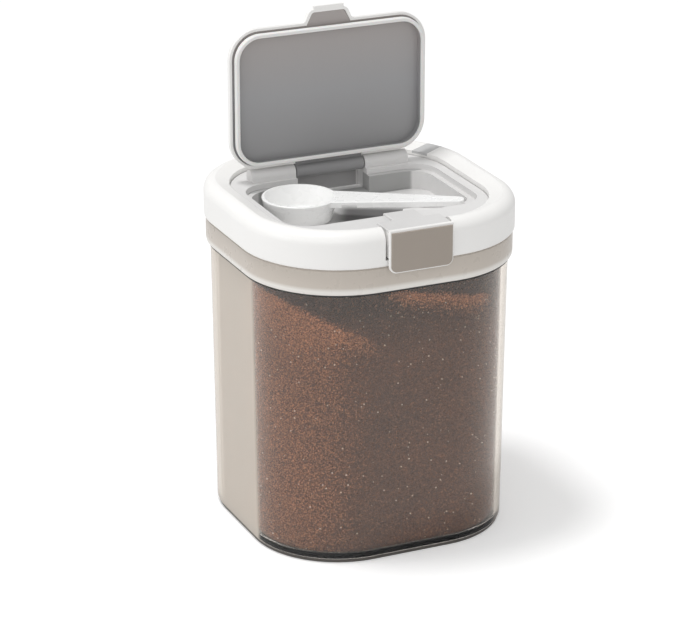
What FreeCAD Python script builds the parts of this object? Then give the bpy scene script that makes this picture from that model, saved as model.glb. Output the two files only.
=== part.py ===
import FreeCAD, Part
import math
import os
import Sketcher
from FreeCAD import Placement, Rotation, Vector

# Square canister with a lift-off lid, a flip cover over a scoop tray, a scoop and a front latch.
# Millimetres and degrees, +Z up, the latch faces -Y, the origin is under the middle of the tub.

DRIVING = {
    # Outline in plan: every wall of the tub and lid is this rounded square drawn in by an inset
    "ring_width": 130.0,
    "ring_corner": 46.0,
    # Foot ring under the tub
    "foot_height": 1.6,
    "foot_inset": 5.2,
    "foot_width": 5.4,
    "foot_round": 0.5,
    # Clear tub
    "shoulder_height": 130.0,
    "tub_inset": 2.8,
    "tub_draft": 1.5,
    "tub_wall": 2.4,
    "tub_floor": 1.8,
    "tub_spigot": 1.0,
    "tub_edge_round": 1.2,
    "tub_floor_round": 1.5,
    "neck_inset": 3.7,
    "neck_wall": 1.9,
    # Collar round the neck of the tub, on a thin dark seal
    "collar_height": 12.8,
    "seal_height": 0.7,
    "seal_inset": 1.9,
    "collar_inset": 0.8,
    "collar_flange": 1.8,
    "collar_edge": 0.6,
    "collar_round": 1.5,
    # Lid ring
    "lid_gap": 0.3,
    "ring_height": 16.9,
    "ring_wall": 2.4,
    "ring_band": 4.5,
    "ring_band_width": 11.9,
    "ring_round": 5.5,
    "ring_slope_width": 6.2,
    "ring_slope_drop": 2.4,
    "ring_edge": 0.6,
    # Grip inlay across the ring at the rear right
    "inlay_behind": 2.0,
    "inlay_width": 7.4,
    "inlay_depth": 3.6,
    "inlay_end": 3.6,
    # Notch in the ring for the latch, with a boss each side
    "notch_gap": 1.0,
    "notch_rise": 2.9,
    "notch_boss": 4.0,
    "boss_rise": 0.9,
    "boss_gap": 0.4,
    # Plug frame under the ring, with its gasket
    "plug_gap": 0.8,
    "plug_wall": 2.4,
    "plug_drop": 9.1,
    "plug_flange": 1.8,
    "gasket_rise": 2.4,
    "gasket_height": 3.6,
    "gasket_seat": 1.3,
    "gasket_lip": 0.9,
    # Scoop tray set into the lid ring
    "deck_thickness": 1.8,
    "deck_groove": 0.6,
    "deck_groove_depth": 0.8,
    "ledge_drop": 2.8,
    "ledge_width": 2.6,
    "pocket_depth": 11.5,
    "pocket_wall": 1.6,
    "pocket_front": 3.8,
    "pocket_back_round": 11.0,
    "pocket_side_round": 8.0,
    "pocket_small_round": 1.5,
    "slot_left": 12.0,
    "slot_step": 1.5,
    "slot_right": 6.5,
    "slot_lean": 5.5,
    "slot_length": 10.0,
    "rest_fall": 5.5,
    # Hinge of the flip cover
    "hinge_margin": 31.0,
    "hinge_rise": 2.1,
    "hinge_pin_diameter": 2.5,
    "hinge_barrel_diameter": 6.6,
    "hinge_barrel_length": 34.0,
    "hinge_ear_diameter": 7.0,
    "hinge_ear_margin": 9.6,
    "hinge_gap": 0.5,
    "hinge_pin_bite": 9.0,
    "hinge_bay_back": 5.4,
    "hinge_bracket": 1.2,
    "hinge_bracket_gap": 1.4,
    "hinge_bracket_drop": 0.4,
    "hinge_bay_floor": 1.4,
    # Flip cover, drawn closed and then swung open
    "cover_side_margin": 15.8,
    "cover_front_margin": 28.6,
    "cover_corner": 14.0,
    "cover_gap": 1.0,
    "cover_height": 3.9,
    "cover_top": 1.9,
    "cover_wall": 1.2,
    "cover_edge_round": 1.5,
    "cover_open": 90.0,
    "tab_length": 5.8,
    "tab_root": 26.0,
    "tab_tip": 18.6,
    "tab_round": 3.0,
    "tab_flare": 2.5,
    "tab_nose": 1.6,
    "tab_nose_width": 15.0,
    "tab_nose_height": 1.5,
    # Liner and gasket inside the flip cover
    "liner_plate": 1.5,
    "liner_rim_wall": 1.0,
    "bead_groove": 0.7,
    "bead_width": 0.8,
    "bead_lip": 0.9,
    "bead_height": 2.4,
    "bead_round": 0.5,
    "seat_gap": 0.6,
    # Latch lever, its grey hook plate and its pad
    "latch_width": 31.0,
    "latch_plate": 1.3,
    "latch_stand": 0.9,
    "latch_drop": 3.0,
    "latch_rise": 0.2,
    "latch_hook": 1.1,
    "latch_hook_drop": 0.4,
    "latch_hook_groove": 0.5,
    "latch_hook_round": 0.4,
    "latch_shoulder": 0.2,
    "latch_cheek": 2.8,
    "latch_cheek_gap": 0.4,
    "latch_cheek_rise": 1.0,
    "latch_catch": 0.8,
    "latch_corner": 3.5,
    "latch_edge": 0.4,
    "latch_border": 0.7,
    "latch_pad": 0.7,
    "latch_pad_drop": 1.2,
    "latch_pad_round": 0.3,
    "latch_pin_diameter": 2.0,
    "latch_pin_back": 2.7,
    "latch_pin_rise": 2.9,
    "latch_pin_bite": 2.8,
    "spring_outer": 4.6,
    "spring_inner": 2.6,
    "spring_length": 6.0,
    "spring_wire": 0.7,
    "spring_leg_front": 2.8,
    # Scoop
    "scoop_side_gap": 1.0,
    "scoop_back_gap": 3.2,
    "scoop_proud": 0.2,
    "scoop_top_radius": 17.4,
    "scoop_base_radius": 14.7,
    "scoop_wall": 1.4,
    "scoop_base_round": 2.4,
    "scoop_floor_round": 2.0,
    "handle_side_gap": 5.7,
    "handle_front_gap": 3.6,
    "handle_root": 19.6,
    "handle_tip": 6.4,
    "handle_skin": 1.3,
    "handle_round": 2.8,
    "handle_edge": 0.5,
    # Clearances
    "part_gap": 0.3,
    "fit_gap": 0.1,
    "pin_gap": 0.05,
    "overrun": 2.0,
}

SAME_PLACE = 1e-3

doc = FreeCAD.newDocument("canister")
sheet = doc.addObject("Spreadsheet::Sheet", "Sizes")
for row, (alias, number) in enumerate(DRIVING.items(), start=1):
    sheet.set(f"A{row}", alias)
    sheet.set(f"B{row}", str(number))
    sheet.setAlias(f"B{row}", alias)
doc.recompute()


class Size:
    """A length or angle that carries its number and the sheet formula it comes from."""

    def __init__(self, text, value):
        self.text = text
        self.value = value

    def __add__(self, other):
        return Size(f"({self.text} + {other.text})", self.value + other.value)

    def __sub__(self, other):
        return Size(f"({self.text} - {other.text})", self.value - other.value)

    def __neg__(self):
        return Size(f"(-1 * {self.text})", -self.value)

    def __mul__(self, count):
        return Size(f"({self.text} * {count})", self.value * count)

    def __truediv__(self, count):
        return Size(f"({self.text} / {count})", self.value / count)

    def slant(self, other):
        """The straight line across this length and another at right angles to it."""
        return Size(f"sqrt({self.text} ^ 2 + {other.text} ^ 2)", math.hypot(self.value, other.value))

    def foremost(self, other):
        """This place or another, whichever lies nearer the front."""
        return Size(f"min({self.text}; {other.text})", min(self.value, other.value))


class Sheet:
    """Reads a named cell of the sheet as a Size."""

    def __getattr__(self, alias):
        return Size(f"Sizes.{alias}", float(getattr(sheet, alias)))


s = Sheet()
ZERO = Size("0", 0.0)

# Heights, from the table up
tub_bottom = s.foot_height
shoulder = s.shoulder_height
collar_base = shoulder + s.seal_height
collar_top = shoulder + s.collar_height
neck_top = collar_top - s.collar_flange
ring_bottom = collar_top + s.lid_gap
ring_top = ring_bottom + s.ring_height
deck_top = ring_top - s.ring_band
deck_bottom = deck_top - s.deck_thickness
ledge_top = deck_top - s.ledge_drop
pocket_floor = deck_top - s.pocket_depth
plug_bottom = ring_bottom - s.plug_drop
notch_floor = ring_bottom + s.notch_rise
cover_bottom = deck_top + s.cover_gap
cover_crown = cover_bottom + s.cover_height
cover_ceiling = cover_crown - s.cover_top
hinge_z = deck_top + s.hinge_rise
scoop_height = s.pocket_depth + s.scoop_proud - s.part_gap
handle_height = s.ledge_drop + s.scoop_proud - s.part_gap

# Places in plan
ring_half = s.ring_width / 2
neck_bore = s.neck_inset + s.neck_wall
plug_inset = neck_bore + s.plug_gap
latch_half = s.latch_width / 2
notch_half = latch_half + s.notch_gap
boss_half = notch_half + s.notch_boss
boss_back = plug_inset - s.boss_gap - ring_half
latch_gap_front = boss_back + s.part_gap
hinge_y = ring_half - s.hinge_margin
cover_half = ring_half - s.cover_side_margin
cover_back = hinge_y - s.hinge_ear_diameter / 2 - s.hinge_gap
cover_front = s.cover_front_margin - ring_half
bead_inset = s.cover_wall + s.bead_groove
rim_inset = bead_inset + s.bead_width
rim_inner = rim_inset + s.liner_rim_wall
seat_inset = bead_inset - s.seat_gap
tab_front = cover_front - s.tab_length
nose_front = tab_front - s.tab_nose
latch_back_face = -(ring_half + s.latch_stand)
latch_front_face = latch_back_face - s.latch_plate
latch_bottom = ring_bottom - s.latch_drop
latch_top = ring_top + s.latch_rise
latch_pin_y = s.latch_pin_back - ring_half
latch_pin_z = notch_floor + s.latch_pin_rise
pocket_inset = seat_inset + s.ledge_width
pocket_side = cover_half - pocket_inset
pocket_back = cover_back - pocket_inset
scoop_x = s.scoop_side_gap + s.scoop_top_radius - pocket_side
scoop_y = pocket_back - s.scoop_back_gap - s.scoop_top_radius
bowl_room = scoop_y - s.scoop_top_radius - s.scoop_side_gap
ledge_front = cover_front + pocket_inset
slot_front = ledge_front.foremost(bowl_room - s.pocket_front)
handle_run = pocket_side - s.handle_side_gap - scoop_x
handle_fall = scoop_y - ledge_front - s.handle_front_gap


def bound(sketch, kind, geometry, point, size):
    """Holds one point's distance from the sketch origin to a size."""
    index = sketch.addConstraint(Sketcher.Constraint(kind, -1, 1, geometry, point, size.value))
    sketch.setExpression(f"Constraints[{index}]", size.text)


def polygon(sketch, *corners):
    """Straight sided outline through corners given as pairs of sizes."""
    points = [Vector(x.value, y.value, 0) for x, y in corners]
    count = len(points)
    for index in range(count):
        sketch.addGeometry(Part.LineSegment(points[index], points[(index + 1) % count]), False)
    for index in range(count):
        sketch.addConstraint(Sketcher.Constraint("Coincident", index, 2, (index + 1) % count, 1))
    for index, (x, y) in enumerate(corners):
        bound(sketch, "DistanceX", index, 1, x)
        bound(sketch, "DistanceY", index, 1, y)


def rectangle(sketch, left, right, front, back):
    polygon(sketch, (left, front), (right, front), (right, back), (left, back))


def soft_polygon(sketch, *corners):
    """Outline, drawn anticlockwise, through corners given as x, y and the radius that rounds each."""
    points = [Vector(x.value, y.value, 0) for x, y, radius in corners]
    count = len(points)
    touches = []
    arcs = []
    for index, (x, y, radius) in enumerate(corners):
        point = points[index]
        back = (points[index - 1] - point).normalize()
        ahead = (points[(index + 1) % count] - point).normalize()
        half = back.getAngle(ahead) / 2
        centre = point + (back + ahead).normalize() * (radius.value / math.sin(half))
        arrive = point + back * (radius.value / math.tan(half))
        leave = point + ahead * (radius.value / math.tan(half))
        leftward = back.cross(ahead).z < 0
        start, end = (arrive, leave) if leftward else (leave, arrive)
        low = math.atan2(start.y - centre.y, start.x - centre.x)
        high = math.atan2(end.y - centre.y, end.x - centre.x)
        high = high if high > low else high + 2 * math.pi
        arcs.append(Part.ArcOfCircle(Part.Circle(centre, Vector(0, 0, 1), radius.value), low, high))
        touches.append((arrive, leave, leftward))
    for index in range(count):
        run = Part.LineSegment(touches[index][1], touches[(index + 1) % count][0])
        sketch.addGeometry(run, False)
    for arc in arcs:
        sketch.addGeometry(arc, False)
    for point in points:
        sketch.addGeometry(Part.Point(point), True)
    for index, (x, y, radius) in enumerate(corners):
        before = (index - 1) % count
        arc = count + index
        mark = 2 * count + index
        first, last = (1, 2) if touches[index][2] else (2, 1)
        sketch.addConstraint(Sketcher.Constraint("Tangent", before, 2, arc, first))
        sketch.addConstraint(Sketcher.Constraint("Tangent", arc, last, index, 1))
        sketch.addConstraint(Sketcher.Constraint("PointOnObject", mark, 1, before))
        sketch.addConstraint(Sketcher.Constraint("PointOnObject", mark, 1, index))
        bound(sketch, "DistanceX", mark, 1, x)
        bound(sketch, "DistanceY", mark, 1, y)
        datum = sketch.addConstraint(Sketcher.Constraint("Radius", arc, radius.value))
        sketch.setExpression(f"Constraints[{datum}]", radius.text)


def circle(sketch, x, y, diameter):
    centre = Vector(x.value, y.value, 0)
    index = sketch.addGeometry(Part.Circle(centre, Vector(0, 0, 1), diameter.value / 2), False)
    bound(sketch, "DistanceX", index, 3, x)
    bound(sketch, "DistanceY", index, 3, y)
    datum = sketch.addConstraint(Sketcher.Constraint("Diameter", index, diameter.value))
    sketch.setExpression(f"Constraints[{datum}]", diameter.text)


def rounded(sketch, left, right, front, back, corner):
    """Rectangle with a tangent arc at each corner."""
    low_x, high_x = left.value, right.value
    low_y, high_y = front.value, back.value
    radius = corner.value
    quarter = math.pi / 2
    first = sketch.GeometryCount
    centres = [
        (high_x - radius, low_y + radius),
        (high_x - radius, high_y - radius),
        (low_x + radius, high_y - radius),
        (low_x + radius, low_y + radius),
    ]
    runs = [
        ((low_x + radius, low_y), (high_x - radius, low_y)),
        ((high_x, low_y + radius), (high_x, high_y - radius)),
        ((high_x - radius, high_y), (low_x + radius, high_y)),
        ((low_x, high_y - radius), (low_x, low_y + radius)),
    ]
    for turn, (start, end) in enumerate(runs):
        sketch.addGeometry(Part.LineSegment(Vector(*start, 0), Vector(*end, 0)), False)
        ring = Part.Circle(Vector(*centres[turn], 0), Vector(0, 0, 1), radius)
        arc = Part.ArcOfCircle(ring, (turn - 1) * quarter, turn * quarter)
        sketch.addGeometry(arc, False)
    count = 2 * len(runs)
    for index in range(count):
        following = first + (index + 1) % count
        sketch.addConstraint(Sketcher.Constraint("Tangent", first + index, 2, following, 1))
    for turn, kind in enumerate(("Horizontal", "Vertical", "Horizontal", "Vertical")):
        sketch.addConstraint(Sketcher.Constraint(kind, first + 2 * turn))
    for turn in range(1, len(runs)):
        sketch.addConstraint(Sketcher.Constraint("Equal", first + 1, first + 2 * turn + 1))
    datum = sketch.addConstraint(Sketcher.Constraint("Radius", first + 1, radius))
    sketch.setExpression(f"Constraints[{datum}]", corner.text)
    sides = (("DistanceY", front), ("DistanceX", right), ("DistanceY", back), ("DistanceX", left))
    for turn, (kind, size) in enumerate(sides):
        bound(sketch, kind, first + 2 * turn, 1, size)


def square(sketch, *insets):
    """The canister's rounded square drawn in by each inset; two insets leave a band."""
    for inset in insets:
        half = ring_half - inset
        rounded(sketch, -half, half, -half, half, s.ring_corner - inset)


def cover_outline(sketch, *insets):
    """The flip cover's rounded rectangle drawn in by each inset."""
    for inset in insets:
        half = cover_half - inset
        rounded(sketch, -half, half, cover_front + inset, cover_back - inset, s.cover_corner - inset)


def tab_outline(sketch, inset):
    """The finger tab, wider at its root, drawn in by the inset and let into the cover."""
    root_half = s.tab_root / 2 - inset
    tip_half = s.tab_tip / 2 - inset
    tip = tab_front + inset
    root = cover_front + rim_inset
    inner = s.tab_round / 2
    outer = s.tab_round - inset
    soft_polygon(sketch, (-tip_half, tip, outer), (tip_half, tip, outer),
                 (root_half, root, inner), (-root_half, root, inner))


class Piece:
    """One sub-part: a body with its sketches and features."""

    made = []

    def __init__(self, label, exported=True):
        self.body = doc.addObject("PartDesign::Body", label)
        self.body.Label = label
        if exported:
            Piece.made.append(self.body)

    def sketch(self, plane, offset, draw, sizes):
        flat = self.body.newObject("Sketcher::SketchObject", "Sketch")
        support = [item for item in self.body.Origin.OriginFeatures if item.Role == plane]
        flat.AttachmentSupport = [(support[0], "")]
        flat.MapMode = "FlatFace"
        flat.setExpression("AttachmentOffset.Base.z", offset.text)
        draw(flat, *sizes)
        return flat

    def feature(self, kind, profile):
        made = self.body.newObject(f"PartDesign::{kind}", kind)
        made.Profile = profile
        return made

    def settle(self, made):
        """Works the new feature out and stops the build where it failed."""
        doc.recompute()
        if not made.isValid() or not self.body.Shape.isValid() or len(self.body.Shape.Solids) != 1:
            raise RuntimeError(f"{self.body.Label}: {made.Name} failed, {made.getStatusString()}")

    def pad(self, base, height, draw, *sizes, plane="XY_Plane"):
        """Adds material from the sketch plane along its normal."""
        made = self.feature("Pad", self.sketch(plane, base, draw, sizes))
        made.setExpression("Length", height.text)
        self.settle(made)

    def cut(self, top, depth, draw, *sizes, plane="XY_Plane"):
        """Takes material away from the sketch plane against its normal."""
        before = self.body.Shape.Volume
        made = self.feature("Pocket", self.sketch(plane, top, draw, sizes))
        made.setExpression("Length", depth.text)
        self.settle(made)
        if self.body.Shape.Volume > before - SAME_PLACE:
            raise RuntimeError(f"{self.body.Label}: {made.Name} took nothing away")

    def loft(self, kind, low, low_inset, high, high_inset):
        """Straight walls from one rounded square to another."""
        made = self.feature(kind, self.sketch("XY_Plane", low, square, [low_inset]))
        made.Sections = [self.sketch("XY_Plane", high, square, [high_inset])]
        made.Ruled = True
        self.settle(made)

    def turn(self, kind, corners):
        """Turns an outline of radius and height pairs about the upright axis."""
        profile = self.sketch("XZ_Plane", ZERO, polygon, corners)
        made = self.feature(kind, profile)
        made.ReferenceAxis = (profile, ["V_Axis"])
        self.settle(made)

    def names(self, edges):
        """Names in the body's shape of the edges given."""
        known = self.body.Shape.Edges
        return [f"Edge{n}" for n, edge in enumerate(known, 1) if any(edge.isSame(one) for one in edges)]

    def dress(self, kind, edges, **sizes):
        """Rounds or bevels edges, with each of the feature's sizes given by name."""
        base = self.body.Tip
        names = self.names(edges)
        if not names:
            raise RuntimeError(f"{self.body.Label}: no edge to dress")
        made = self.body.newObject(f"PartDesign::{kind}", kind)
        made.Base = (base, names)
        if len(sizes) > 1:
            made.ChamferType = "Two distances"
        for prop, size in sizes.items():
            made.setExpression(prop, size.text)
        self.settle(made)

    def fillet(self, radius, test):
        self.dress("Fillet", list(filter(test, self.body.Shape.Edges)), Radius=radius)

    def chamfer(self, size, test):
        self.dress("Chamfer", list(filter(test, self.body.Shape.Edges)), Size=size)

    def slope(self, width, drop, height):
        """Bevels the rim of the opening in the face at a height, wider than it is deep."""
        rim = []
        for face in self.body.Shape.Faces:
            if level(height)(face):
                rim += [edge for wire in face.Wires if not wire.isSame(face.OuterWire) for edge in wire.Edges]
        self.dress("Chamfer", rim, Size=width, Size2=drop)

    def swing_open(self):
        """Turns a piece that was drawn closed about the cover's hinge."""
        centre = Vector(0, hinge_y.value, hinge_z.value)
        turned = Rotation(Vector(1, 0, 0), -s.cover_open.value)
        self.body.Placement = Placement(Vector(0, 0, 0), turned, centre)


def level(height):
    """Edges or faces that lie flat at a height."""
    def test(item):
        box = item.BoundBox
        low = abs(box.ZMin - height.value) < SAME_PLACE
        return low and abs(box.ZMax - height.value) < SAME_PLACE
    return test


def facing(place):
    """Edges that lie in the upright plane across the canister at a place."""
    def test(edge):
        box = edge.BoundBox
        low = abs(box.YMin - place.value) < SAME_PLACE
        return low and abs(box.YMax - place.value) < SAME_PLACE
    return test


def along_y(x, z):
    """Edges that run front to back at a place seen from the front."""
    def test(edge):
        box = edge.BoundBox
        thin = box.XLength < SAME_PLACE and box.ZLength < SAME_PLACE
        return thin and abs(box.XMin - x.value) < SAME_PLACE and abs(box.ZMin - z.value) < SAME_PLACE
    return test


def upright(y, half):
    """Edges that stand at a depth, no farther to the side than a half width."""
    def test(edge):
        box = edge.BoundBox
        thin = box.XLength < SAME_PLACE and box.YLength < SAME_PLACE
        return thin and abs(box.YMin - y.value) < SAME_PLACE and abs(box.XMin) < half.value
    return test


def any_of(*tests):
    return lambda edge: any(test(edge) for test in tests)


def make_foot():
    foot = Piece("foot_ring")
    foot.pad(ZERO, s.foot_height, square, s.foot_inset, s.foot_inset + s.foot_width)
    foot.fillet(s.foot_round, level(ZERO))


def make_tub():
    tub = Piece("tub")
    base_inset = s.tub_inset + s.tub_draft
    inner_base = base_inset + s.tub_wall
    floor = tub_bottom + s.tub_floor
    tub.loft("AdditiveLoft", tub_bottom, base_inset, shoulder, s.tub_inset)
    tub.pad(shoulder, neck_top - shoulder, square, s.neck_inset)
    tub.fillet(s.tub_edge_round, level(tub_bottom))
    tub.loft("SubtractiveLoft", floor, inner_base, neck_top + s.overrun, neck_bore)
    tub.fillet(s.tub_floor_round, level(floor))
    spigot_inset = s.foot_inset + s.foot_width + s.fit_gap
    tub.pad(tub_bottom - s.tub_spigot, s.tub_spigot, square, spigot_inset)


def make_collar():
    bore = s.neck_inset - s.fit_gap
    seal = Piece("collar_seal")
    seal.pad(shoulder, s.seal_height, square, s.seal_inset, bore)
    collar = Piece("collar")
    collar.pad(collar_base, collar_top - collar_base, square, s.collar_inset)
    collar.fillet(s.collar_round, level(collar_base))
    collar.chamfer(s.collar_edge, level(collar_top))
    collar.cut(neck_top, s.collar_height, square, bore)
    collar.cut(collar_top, s.collar_height, square, neck_bore)


def make_ring():
    """The ring before its inlay is let in."""
    ring = Piece("ring_core", exported=False)
    ring.pad(ring_bottom, s.ring_height, square, ZERO)
    ring.fillet(s.ring_round, level(ring_top))
    ring.chamfer(s.ring_edge, level(ring_bottom))
    ring.cut(ring_top + s.overrun, s.ring_height + s.overrun * 2, square, s.ring_band_width)
    ring.slope(s.ring_slope_width, s.ring_slope_drop, ring_top)
    ring.cut(deck_top, s.ring_height, square, s.ring_wall)
    boss_front = -(ring_half - s.ring_wall / 2)
    boss_base = ring_bottom + s.boss_rise
    ring.pad(boss_base, deck_top - boss_base, rectangle, -boss_half, boss_half, boss_front, boss_back)
    notch_inner = -(ring_half - s.ring_band_width - s.overrun)
    notch_outer = -(ring_half + s.overrun)
    notch_top = ring_top + s.overrun
    ring.cut(notch_top, notch_top - notch_floor, rectangle,
             -notch_half, notch_half, notch_outer, notch_inner)
    bite = notch_half + s.latch_pin_bite
    ring.cut(bite, bite * 2, circle, latch_pin_y, latch_pin_z, s.latch_pin_diameter, plane="YZ_Plane")
    return ring.body


def box_object(label, left, right, front, back, low, high):
    """A plain block whose sides follow the sheet."""
    block = doc.addObject("Part::Box", label)
    block.setExpression("Length", (right - left).text)
    block.setExpression("Width", (back - front).text)
    block.setExpression("Height", (high - low).text)
    block.setExpression("Placement.Base.x", left.text)
    block.setExpression("Placement.Base.y", front.text)
    block.setExpression("Placement.Base.z", low.text)
    return block


def make_inlay(core):
    """Splits a strip off the ring's top and keeps both the strip and the ring."""
    middle = hinge_y + s.inlay_behind
    front = middle - s.inlay_width / 2
    back = middle + s.inlay_width / 2
    low = ring_top - s.inlay_depth
    high = ring_top + s.overrun
    near = ring_half - s.ring_band_width * 2
    far = ring_half - s.inlay_end
    block = box_object("inlay_block", near, far, front, back, low, high)
    strip = doc.addObject("Part::Common", "ring_inlay")
    strip.Base = core
    strip.Tool = block
    strip.Label = "ring_inlay"
    Piece.made.append(strip)
    ring = doc.addObject("Part::Cut", "lid_ring")
    ring.Base = core
    ring.Tool = block
    ring.Label = "lid_ring"
    Piece.made.append(ring)
    doc.recompute()


def make_plug():
    plug = Piece("lid_plug")
    inner = plug_inset + s.plug_wall
    plug.pad(plug_bottom, deck_bottom - plug_bottom, square, plug_inset, inner)
    flange_inset = s.ring_wall + s.fit_gap
    plug.pad(deck_bottom - s.plug_flange, s.plug_flange, square, flange_inset, inner)
    clear_half = boss_half + s.part_gap
    front = -(ring_half + s.overrun)
    plug.cut(deck_bottom, s.plug_flange, rectangle, -clear_half, clear_half, front, latch_gap_front)
    groove_top = plug_bottom + s.gasket_rise + s.gasket_height
    plug.cut(groove_top, s.gasket_height, square, plug_inset - s.overrun, plug_inset + s.gasket_seat)


def make_lid_gasket():
    gasket = Piece("lid_gasket")
    low = plug_bottom + s.gasket_rise
    seat = plug_inset + s.gasket_seat
    gasket.pad(low, s.gasket_height, square, plug_inset, seat)
    tip = neck_bore + s.part_gap
    gasket.pad(low, s.gasket_lip, square, tip, seat)
    gasket.pad(low + s.gasket_height - s.gasket_lip, s.gasket_lip, square, tip, seat)


def pocket_corners(grow):
    """The deep part of the tray, with its finger slot and handle rest, grown by a wall."""
    side = pocket_side + grow
    back = pocket_back + grow
    foremost = slot_front - grow
    front = foremost + s.pocket_front
    rest_left = s.slot_right + s.slot_lean + grow
    rest_back = foremost + s.slot_length
    wide = s.pocket_back_round + grow
    small = s.pocket_small_round
    return [
        (-side, back, wide),
        (-side, front, wide),
        (-s.slot_left - s.slot_step - grow, front, small),
        (-s.slot_left - grow, foremost, small),
        (s.slot_right + grow, foremost, small),
        (rest_left, rest_back, small),
        (side, rest_back - s.rest_fall, s.pocket_side_round + grow),
        (side, back, wide),
    ]


def make_tray():
    tray = Piece("scoop_tray")
    tray.pad(deck_bottom, s.deck_thickness, square, s.ring_wall + s.fit_gap)
    step_low = ledge_top - s.pocket_wall
    tray.pad(step_low, deck_bottom - step_low, cover_outline, seat_inset - s.pocket_wall)
    block_low = pocket_floor - s.pocket_wall
    tray.pad(block_low, deck_bottom - block_low, soft_polygon, *pocket_corners(s.pocket_wall))
    bay_half = s.hinge_barrel_length / 2 + s.part_gap * 2
    bay_back = hinge_y + s.hinge_bay_back
    bay_low = pocket_floor + s.hinge_bay_floor
    bay_front = pocket_back - s.pocket_wall
    tray.pad(bay_low - s.pocket_wall, deck_bottom - bay_low + s.pocket_wall, rectangle,
             -bay_half - s.pocket_wall, bay_half + s.pocket_wall, bay_front, bay_back + s.pocket_wall)
    ear_half = s.hinge_ear_diameter / 2
    ear_end = cover_half - s.hinge_ear_margin
    for start in (bay_half, -ear_end):
        tray.pad(start, ear_end - bay_half, rectangle,
                 hinge_y - ear_half, hinge_y + ear_half, deck_bottom, hinge_z, plane="YZ_Plane")
        tray.pad(start, ear_end - bay_half, circle, hinge_y, hinge_z, s.hinge_ear_diameter,
                 plane="YZ_Plane")
    tray.cut(deck_top, s.ledge_drop, cover_outline, seat_inset)
    tray.cut(deck_top, s.pocket_depth, soft_polygon, *pocket_corners(ZERO))
    tray.cut(deck_top, deck_top - bay_low, rectangle, -bay_half, bay_half, bay_front, bay_back)
    clear_half = boss_half + s.part_gap
    front = -(ring_half + s.overrun)
    tray.cut(deck_top, s.deck_thickness, rectangle, -clear_half, clear_half, front, latch_gap_front)
    bite = bay_half + s.hinge_pin_bite
    tray.cut(bite, bite * 2, circle, hinge_y, hinge_z, s.hinge_pin_diameter, plane="YZ_Plane")
    groove_outer = s.ring_band_width - s.fit_gap
    tray.cut(deck_top, s.deck_groove_depth, square, groove_outer, s.ring_band_width + s.deck_groove)

    bracket = Piece("hinge_bracket")
    bracket_half = bay_half - s.hinge_bracket_gap
    bracket_top = deck_top - s.hinge_bracket_drop
    bracket.pad(bay_low, bracket_top - bay_low, rectangle,
                -bracket_half, bracket_half, bay_back - s.hinge_bracket, bay_back)


def make_pin(label, half, y, z, diameter):
    """A plain pin lying across the canister."""
    pin = Piece(label)
    pin.pad(-half, half * 2, circle, y, z, diameter, plane="YZ_Plane")


def make_cover():
    shell = Piece("cover_shell")
    shell.pad(cover_bottom, s.cover_height, cover_outline, ZERO)
    shell.pad(cover_bottom, s.cover_height, tab_outline, ZERO)
    shell.fillet(s.tab_flare, upright(cover_front, s.tab_root / 2))
    shell.fillet(s.cover_edge_round, level(cover_crown))
    nose_half = s.tab_nose_width / 2
    shell.pad(cover_bottom, s.tab_nose_height, rectangle, -nose_half, nose_half,
              nose_front, tab_front + s.cover_wall)
    recess = cover_ceiling - cover_bottom
    shell.cut(cover_ceiling, recess, cover_outline, s.cover_wall)
    shell.cut(cover_ceiling, recess, tab_outline, s.cover_wall)
    barrel_half = s.hinge_barrel_length / 2
    web_front = cover_back - rim_inset
    shell.cut(cover_ceiling, recess, rectangle, -barrel_half, barrel_half, web_front, cover_back + s.overrun)
    shell.swing_open()

    liner = Piece("cover_liner")
    edge = s.cover_wall + s.fit_gap
    plate_low = cover_ceiling - s.liner_plate
    liner.pad(plate_low, s.liner_plate, cover_outline, edge)
    liner.pad(plate_low, s.liner_plate, tab_outline, edge)
    bead_low = ledge_top + s.part_gap
    rim_low = bead_low + s.bead_lip
    liner.pad(rim_low, plate_low - rim_low, cover_outline, rim_inset, rim_inner)
    web_half = barrel_half - s.part_gap
    liner.pad(plate_low, s.liner_plate, rectangle, -web_half, web_half, web_front, hinge_y)
    liner.pad(-barrel_half, s.hinge_barrel_length, circle, hinge_y, hinge_z,
              s.hinge_barrel_diameter, plane="YZ_Plane")
    bore = s.hinge_pin_diameter + s.pin_gap * 2
    length = s.hinge_barrel_length + s.overrun * 2
    liner.cut(barrel_half + s.overrun, length, circle, hinge_y, hinge_z, bore, plane="YZ_Plane")
    liner.swing_open()

    bead = Piece("cover_gasket")
    bead.pad(bead_low, s.bead_lip, cover_outline, bead_inset, rim_inner)
    bead.pad(bead_low, s.bead_height, cover_outline, bead_inset, rim_inset)
    bead.fillet(s.bead_round, level(bead_low))
    bead.swing_open()


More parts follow.
